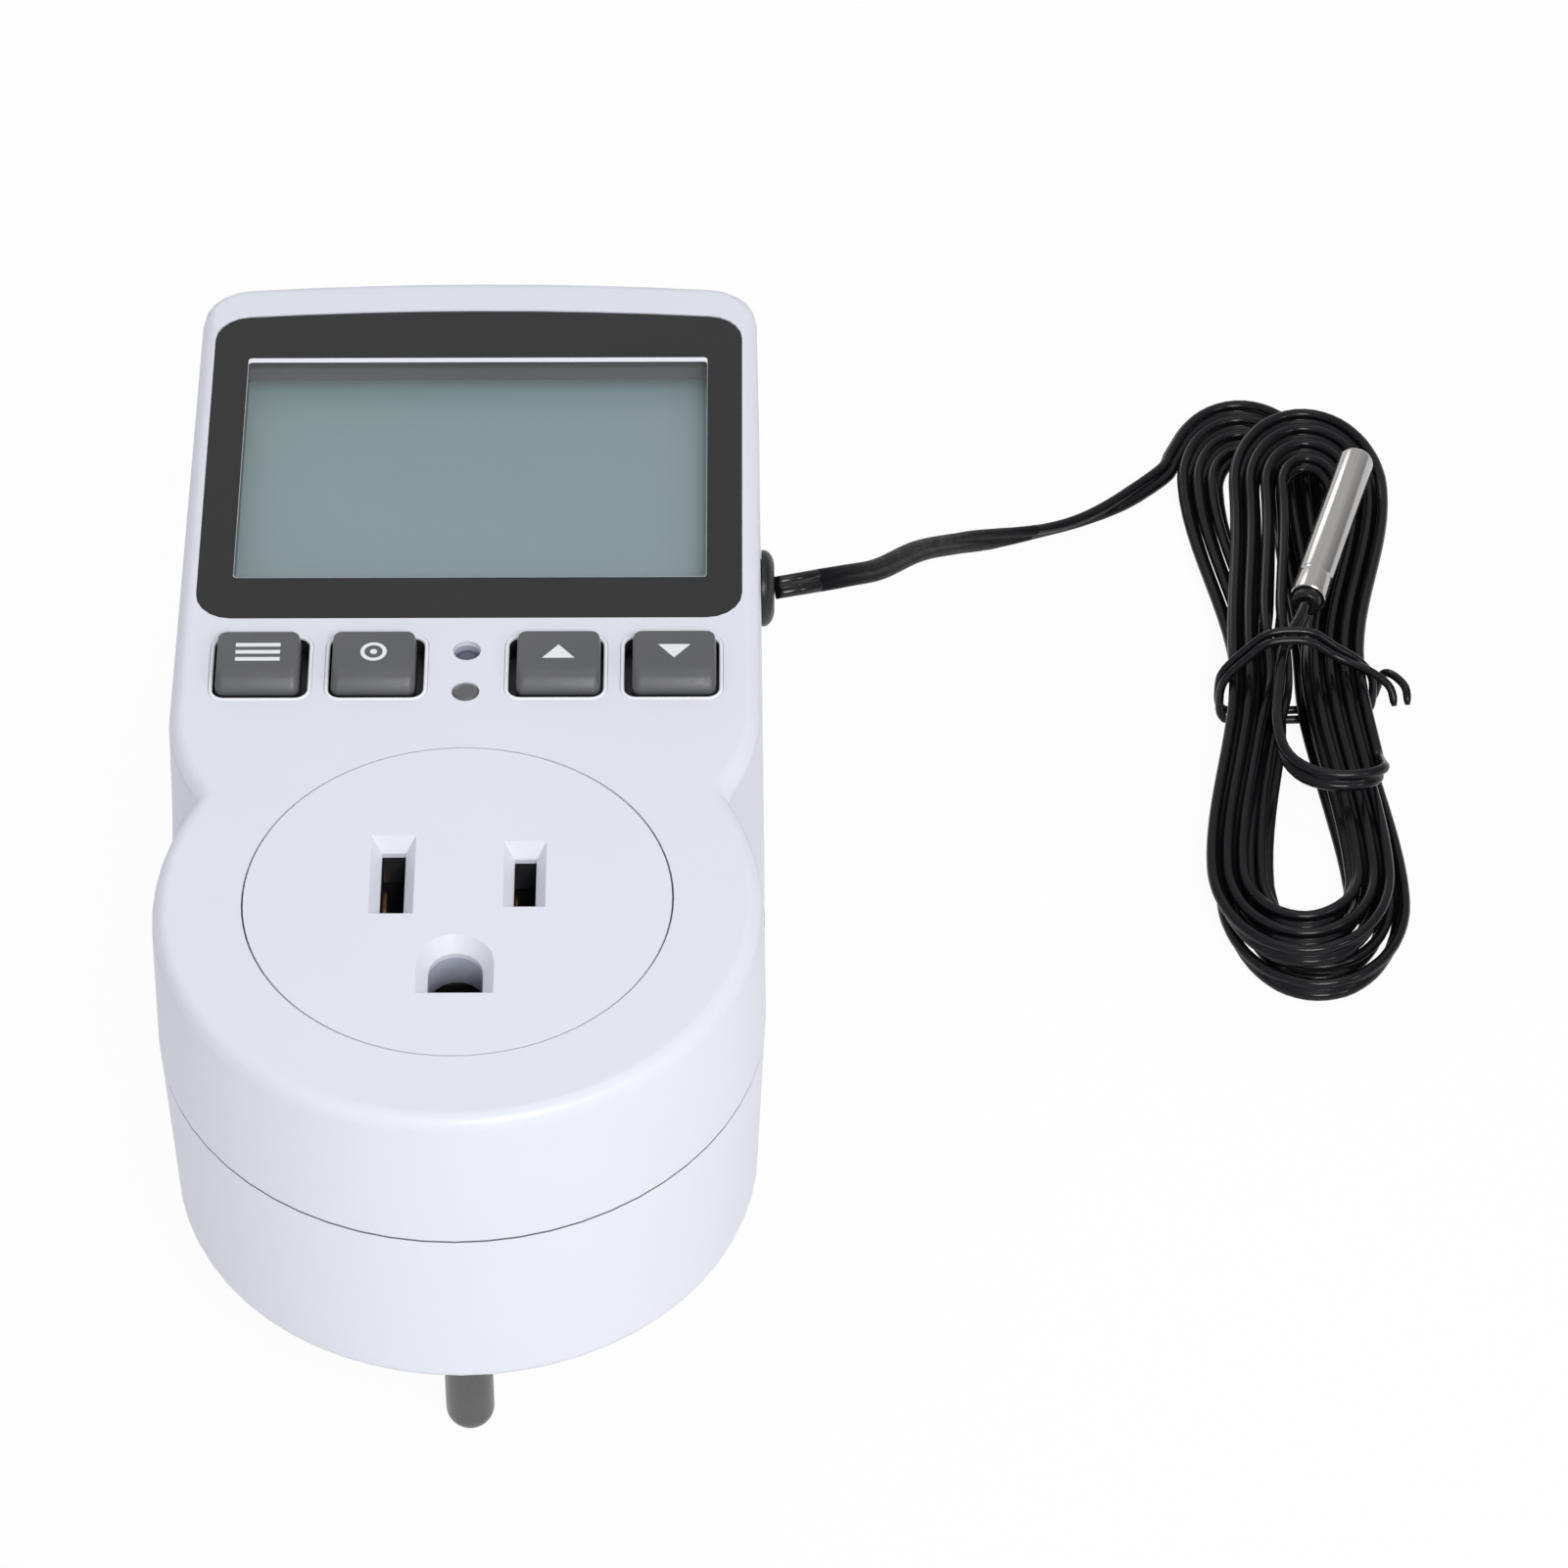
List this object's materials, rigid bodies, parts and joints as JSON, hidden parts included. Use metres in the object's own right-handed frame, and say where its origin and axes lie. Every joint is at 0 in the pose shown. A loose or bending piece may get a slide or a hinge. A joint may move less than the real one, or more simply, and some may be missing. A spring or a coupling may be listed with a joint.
{
  "type": "plug in temperature controller",
  "caption": "Mains adapter with a round socket end, a liquid crystal display, push buttons and a temperature probe on a tied hank of flat cord.",
  "frame": {"origin": "centre of the round socket end, on the back face that meets the wall plate", "axes": "+Z out of the socket face, +Y towards the display end, +X towards the cord gland"},
  "size_m": [0.1289, 0.1633, 0.0598],
  "materials": {
    "face_plastic": "fine satin moulding",
    "back_plastic": "fine satin moulding",
    "window": "clear polished window",
    "border_film": "dark printed film under the window",
    "display_glass": "grey green display glass",
    "holder_plastic": "white moulding",
    "strip_rubber": "elastomer strips",
    "button_plastic": "grey moulding with white printed signs",
    "plunger_plastic": "black",
    "switch_plastic": "black",
    "lamp_resin": "clear tinted resin",
    "insert_plastic": "fine satin moulding",
    "contact_brass": "stamped",
    "base_plastic": "moulding",
    "blade_nickel": "nickel plated blades",
    "pin_nickel": "nickel plated pin",
    "green_board": "green solder mask",
    "tan_board": "bare tan laminate",
    "black_resin": "moulded resin",
    "relay_case": "blue case",
    "capacitor_case": "yellow case",
    "can_sleeve": "shrunk sleeve on an aluminium can",
    "disc_coating": "blue dipped coating",
    "black_wire": "insulated wire",
    "red_wire": "insulated wire",
    "white_wire": "insulated wire",
    "screw_steel": "zinc plated",
    "gland_rubber": "black",
    "cord_jacket": "black flat jacket",
    "connector_plastic": "white nylon",
    "tie_wire": "black coated wire",
    "probe_steel": "drawn stainless tube",
    "seal_rubber": "black sealing"
  },
  "bodies": {
    "housing": {"front_shell": "face_plastic", "rear_shell": "back_plastic", "display_lens": "window", "lens_border": "border_film", "lcd_panel": "display_glass", "lcd_holder": "holder_plastic", "contact_strips": "strip_rubber", "switch_bodies": "switch_plastic", "upper_led": "lamp_resin", "lower_led": "lamp_resin", "socket_insert": "insert_plastic", "line_contact": "contact_brass", "neutral_contact": "contact_brass", "ground_contact": "contact_brass", "plug_base": "base_plastic", "line_blade": "blade_nickel", "neutral_blade": "blade_nickel", "ground_pin": "pin_nickel", "control_board": "green_board", "control_chip": "black_resin", "power_board": "tan_board", "board_link": "black_resin", "relay": "relay_case", "film_capacitor": "capacitor_case", "electrolytic_capacitor": "can_sleeve", "varistor": "disc_coating", "fuse": "black_resin", "bridge_rectifier": "black_resin", "line_wire": "black_wire", "load_wire": "red_wire", "neutral_wire": "white_wire", "housing_screws": "screw_steel", "insert_screws": "screw_steel", "plug_base_screws": "screw_steel", "control_board_screws": "screw_steel", "power_board_screws": "screw_steel", "probe_gland": "gland_rubber", "inner_lead": "cord_jacket", "lead_connector": "connector_plastic", "probe_lead": "cord_jacket", "lead_hank": "cord_jacket", "probe_tail": "cord_jacket", "hank_tie": "tie_wire", "probe_sleeve": "probe_steel", "probe_seal": "seal_rubber"},
    "mode_key": {"mode_button": "button_plastic", "mode_plunger": "plunger_plastic"},
    "set_key": {"set_button": "button_plastic", "set_plunger": "plunger_plastic"},
    "up_key": {"up_button": "button_plastic", "up_plunger": "plunger_plastic"},
    "down_key": {"down_button": "button_plastic", "down_plunger": "plunger_plastic"}
  },
  "joints": [
    {"name": "mode_press", "type": "slide", "parent": "housing", "child": "mode_key", "axis": [0, 0, -1], "range_m": [0, 0.0006], "stiffness_N_per_m": 3000},
    {"name": "set_press", "type": "slide", "parent": "housing", "child": "set_key", "axis": [0, 0, -1], "range_m": [0, 0.0006], "stiffness_N_per_m": 3000},
    {"name": "up_press", "type": "slide", "parent": "housing", "child": "up_key", "axis": [0, 0, -1], "range_m": [0, 0.0006], "stiffness_N_per_m": 3000},
    {"name": "down_press", "type": "slide", "parent": "housing", "child": "down_key", "axis": [0, 0, -1], "range_m": [0, 0.0006], "stiffness_N_per_m": 3000}
  ]
}
